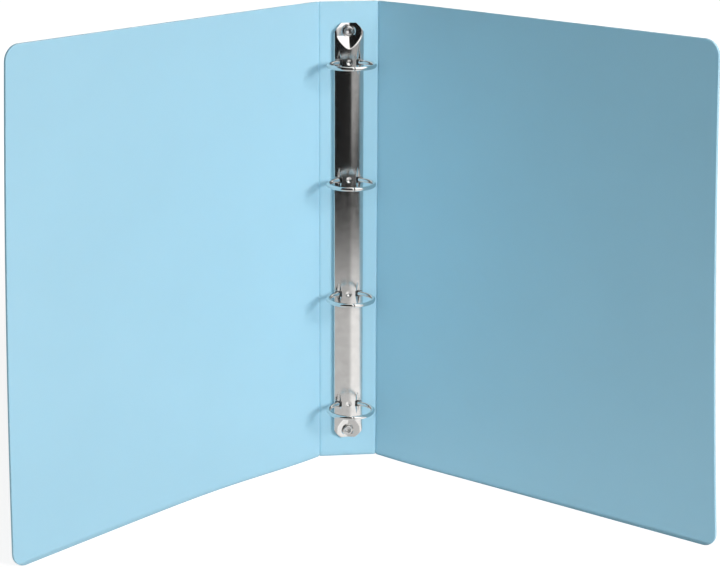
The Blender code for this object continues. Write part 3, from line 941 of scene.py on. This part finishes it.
def make_floor():
    """A pale floor that curves up into a wall all round. Only the camera sees it."""
    profile = [(0, 0), (0.5, 0), (2, 0)]
    profile += arc((FLOOR_RADIUS - WALL_RADIUS, WALL_RADIUS), WALL_RADIUS, -90, 0, 24)
    profile += [(FLOOR_RADIUS, WALL_TOP)]
    body = bmesh.new()
    chain = [body.verts.new((x, 0, z)) for x, z in profile]
    edges = [body.edges.new(pair) for pair in zip(chain, chain[1:])]
    bmesh.ops.spin(
        body, geom=chain + edges, cent=(0, 0, 0), axis=(0, 0, 1), angle=2 * math.pi, steps=96,
        use_merge=True)
    bmesh.ops.remove_doubles(body, verts=body.verts, dist=1e-5)
    mesh = bpy.data.meshes.new("studio_floor")
    body.to_mesh(mesh)
    body.free()
    mesh.shade_smooth()
    floor = bpy.data.objects.new("studio_floor", mesh)
    bpy.context.scene.collection.objects.link(floor)
    made, graph, shader, place = new_material("studio_paper")
    tone = graph.ramp(graph.noise(place, 3.0), 0.3, 0.7, FLOOR_SHADE - 0.01, FLOOR_SHADE + 0.01)
    graph.put(shader.inputs["Base Color"], graph.grey(tone))
    shader.inputs["Roughness"].default_value = 0.9
    shader.inputs["Specular IOR Level"].default_value = 0.0
    shader.inputs["Emission Color"].default_value = (1, 1, 1, 1)
    away = graph.length(place)
    glow = graph.ramp(away, GLOW_START, GLOW_END, FLOOR_GLOW, 1.0)
    graph.put(shader.inputs["Emission Strength"], glow)
    mesh.materials.append(made)
    floor.visible_glossy = False
    floor.visible_diffuse = False


def make_lamp(name, place, target, size, colour, power):
    """A soft lamp that neither the camera nor metal sees."""
    lamp = bpy.data.lights.new(name, "AREA")
    lamp.shape = "RECTANGLE"
    lamp.size, lamp.size_y = size
    lamp.color = colour
    lamp.energy = power
    holder = bpy.data.objects.new(name, lamp)
    holder.location = place
    holder.rotation_mode = "QUATERNION"
    holder.rotation_quaternion = (Vector(target) - Vector(place)).to_track_quat("-Z", "Y")
    holder.visible_glossy = False
    holder.visible_camera = False
    bpy.context.scene.collection.objects.link(holder)


def make_world():
    """The room as metal sees it: dark in front, bright on the right, behind and overhead."""
    world = bpy.data.worlds.new("studio")
    bpy.context.scene.world = world
    graph = Graph(world)
    way = graph.add("ShaderNodeTexCoord").outputs["Generated"]
    side = graph.turn(way)
    up = graph.add("ShaderNodeSeparateXYZ", {0: way}).outputs[2]
    rise = graph.math("MULTIPLY", graph.math("ARCSINE", up), 180 / math.pi)

    card = graph.math(
        "MULTIPLY", graph.ramp(side, *CARD_START), graph.ramp(side, *CARD_FADE, 1.0, CARD_REST))
    ahead = graph.ramp(card, 0.0, 1.0, DARK, CARD_LIGHT)
    behind = graph.ramp(graph.math("ABSOLUTE", side), *BEHIND_START, 0.0, BEHIND_LIGHT)
    above = graph.ramp(rise, *RIGHT_RISE, 0.0, RIGHT_LIGHT)
    above = graph.math("MULTIPLY", graph.ramp(side, *RIGHT_START), above)
    light = graph.math("MAXIMUM", graph.math("MAXIMUM", ahead, behind), above)
    overhead = graph.ramp(rise, *OVERHEAD_RISE, 0.0, OVERHEAD_LIGHT)
    light = graph.math("MAXIMUM", light, overhead)
    background = graph.tree.nodes["Background"]
    graph.put(background.inputs["Color"], graph.grey(light))
    background.inputs["Strength"].default_value = 1.0
    world.cycles_visibility.diffuse = False


def make_glow():
    """The lit floor as metal sees it: bright near the binder, dark further out."""
    (left, front), (right, back) = SHINE_BOX
    corners = [(left, front), (right, front), (right, back), (left, back)]
    mesh = bpy.data.meshes.new("studio_glow")
    mesh.from_pydata([(x, y, SHINE_LEVEL) for x, y in corners], [], [(0, 1, 2, 3)])
    made, graph, shader, place = new_material("studio_glow")
    away = graph.length(place)
    side = graph.ramp(graph.turn(place), *SHINE_TURN, *SHINE_LIGHT)
    shader.inputs["Base Color"].default_value = (0, 0, 0, 1)
    shader.inputs["Specular IOR Level"].default_value = 0.0
    shader.inputs["Emission Color"].default_value = (1, 1, 1, 1)
    shine = graph.math("MULTIPLY", side, graph.ramp(away, *SHINE_FADE, 1.0, 0.0))
    graph.put(shader.inputs["Emission Strength"], shine)
    mesh.materials.append(made)
    glow = bpy.data.objects.new("studio_glow", mesh)
    bpy.context.scene.collection.objects.link(glow)
    glow.visible_camera = False
    glow.visible_diffuse = False
    glow.visible_shadow = False


def make_camera():
    yaw, pitch, roll = (math.radians(a) for a in (CAMERA_YAW, CAMERA_PITCH, CAMERA_ROLL))
    ahead = Vector((
        math.sin(yaw) * math.cos(pitch), math.cos(yaw) * math.cos(pitch), -math.sin(pitch)))
    right = Vector((math.cos(yaw), -math.sin(yaw), 0))
    down = -right.cross(ahead)
    turned_right = math.cos(roll) * right + math.sin(roll) * down
    turned_down = math.cos(roll) * down - math.sin(roll) * right
    camera = bpy.data.cameras.new("camera")
    camera.lens = CAMERA_LENS
    camera.shift_x, camera.shift_y = CAMERA_SHIFT
    camera.clip_end = CAMERA_FAR
    holder = bpy.data.objects.new("camera", camera)
    turn = Matrix((turned_right, -turned_down, -ahead)).transposed().to_4x4()
    holder.matrix_world = Matrix.Translation(CAMERA_PLACE) @ turn
    bpy.context.scene.collection.objects.link(holder)
    bpy.context.scene.camera = holder


LAMPS = (                         # name, place, point it faces, size, colour, watts
    ("key", (1.28, -1.73, 0.99), (-0.06, -0.05, 0.16), (0.8, 0.8), (1.0, 0.885, 0.85), 49.0),
    ("front", (-0.6, -2.2, 0.8), (0.0, 0.0, 0.16), (2.0, 1.6), (0.89, 0.97, 0.965), 22.6),
    ("bounce", (0.0, -0.1, 0.001), (0.0, -0.1, 1.0), (1.5, 1.5), (0.85, 0.95, 1.0), 2.6),
    ("back", (0.5, 2.2, 1.2), (0.0, 0.0, 0.16), (2.0, 1.6), (1.0, 1.0, 1.0), 12.0))


def make_studio():
    make_floor()
    for lamp in LAMPS:
        make_lamp(*lamp)
    make_glow()
    make_world()
    make_camera()
    bpy.context.scene.view_settings.view_transform = "Standard"


make_cover()
make_housing()
make_rings()
make_rivets()
dress_blades()
make_studio()
